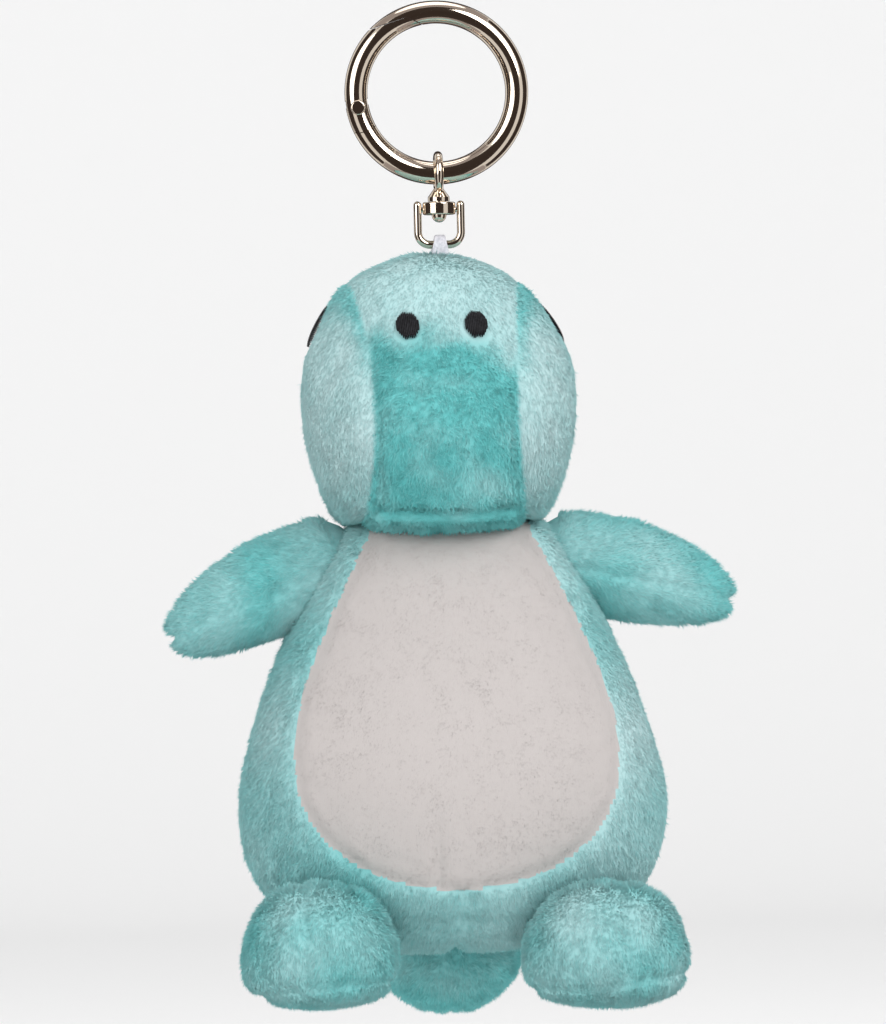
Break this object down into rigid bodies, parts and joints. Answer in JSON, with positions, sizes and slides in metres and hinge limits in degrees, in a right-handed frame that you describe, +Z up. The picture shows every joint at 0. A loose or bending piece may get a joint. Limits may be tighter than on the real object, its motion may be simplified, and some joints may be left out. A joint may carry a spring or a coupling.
{
  "type": "plush keychain",
  "caption": "Stuffed plush dinosaur with outstretched arms, two feet, a tail and a pale belly, hung by a white loop from a small swivel shackle on a spring-gate key ring.",
  "frame": {"origin": "top of the key ring's hole, where the ring hangs from a hook or a bag's loop", "axes": "+Z up along the hanging direction; the dinosaur's face looks towards -Y; X runs across the outstretched arms"},
  "size_m": [0.1001, 0.089, 0.1768],
  "materials": {
    "gold_metal": "light gold plated, polished",
    "spring_steel": "plain spring steel",
    "loop_tape": "white woven tape",
    "teal_plush": "short pile teal plush",
    "white_plush": "short pile off-white plush",
    "black_thread": "black satin embroidery thread",
    "stuffing": "polyester fibre filling"
  },
  "bodies": {
    "ring": {"ring_body": "gold_metal", "gate_pin": "gold_metal"},
    "gate": {"ring_gate": "gold_metal", "gate_spring": "spring_steel", "gate_plunger": "spring_steel"},
    "eye": {"swivel_eye": "gold_metal", "swivel_rivet": "gold_metal"},
    "collar": {"swivel_collar": "gold_metal"},
    "shackle_body": {"shackle": "gold_metal"},
    "plush": {"hang_loop": "loop_tape", "head_gusset": "teal_plush", "chin_panel": "teal_plush", "head_side_left": "teal_plush", "head_side_right": "teal_plush", "head_fill": "stuffing", "nostril_left": "black_thread", "nostril_right": "black_thread", "eye_left": "black_thread", "eye_right": "black_thread", "torso_left": "teal_plush", "torso_right": "teal_plush", "belly_patch": "white_plush", "torso_fill": "stuffing", "foot_left_inner": "teal_plush", "foot_left_outer": "teal_plush", "foot_left_sole": "teal_plush", "foot_left_fill": "stuffing", "foot_right_inner": "teal_plush", "foot_right_outer": "teal_plush", "foot_right_sole": "teal_plush", "foot_right_fill": "stuffing"},
    "arm_left": {"arm_left_upper": "teal_plush", "arm_left_lower": "teal_plush", "arm_left_fill": "stuffing"},
    "arm_right": {"arm_right_upper": "teal_plush", "arm_right_lower": "teal_plush", "arm_right_fill": "stuffing"},
    "tail": {"tail_left": "teal_plush", "tail_right": "teal_plush", "tail_fill": "stuffing"}
  },
  "joints": [
    {"name": "gate_hinge", "type": "hinge", "parent": "ring", "child": "gate", "pos_m": [-0.01379, 0, -0.01443], "axis": [0, 1, 0], "range_deg": [0, 28], "stiffness_Nm_per_rad": 0.01, "springref_deg": -11.46},
    {"name": "eye_travel", "type": "hinge", "parent": "ring", "child": "eye", "pos_m": [0, 0, -0.012], "axis": [0, 1, 0], "range_deg": [-180, 45]},
    {"name": "swivel_spin", "type": "hinge", "parent": "eye", "child": "collar", "pos_m": [0, 0, -0.0315], "axis": [0, 0, 1], "continuous": true},
    {"name": "shackle_pivot", "type": "hinge", "parent": "collar", "child": "shackle_body", "pos_m": [0, 0, -0.03235], "axis": [1, 0, 0], "range_deg": [-50, 50]},
    {"name": "loop_swing", "type": "hinge", "parent": "shackle_body", "child": "plush", "pos_m": [0, 0, -0.03845], "axis": [1, 0, 0], "range_deg": [-20, 20]},
    {"name": "arm_left_flap", "type": "hinge", "parent": "plush", "child": "arm_left", "pos_m": [-0.0205, 0, -0.09485], "axis": [0, 1, 0], "range_deg": [-15, 30], "stiffness_Nm_per_rad": 0.02},
    {"name": "arm_right_flap", "type": "hinge", "parent": "plush", "child": "arm_right", "pos_m": [0.0205, 0, -0.09485], "axis": [0, -1, 0], "range_deg": [-15, 30], "stiffness_Nm_per_rad": 0.02},
    {"name": "tail_wag", "type": "hinge", "parent": "plush", "child": "tail", "pos_m": [0, 0.02, -0.16005], "axis": [1, 0, 0], "range_deg": [-10, 22], "stiffness_Nm_per_rad": 0.02}
  ]
}
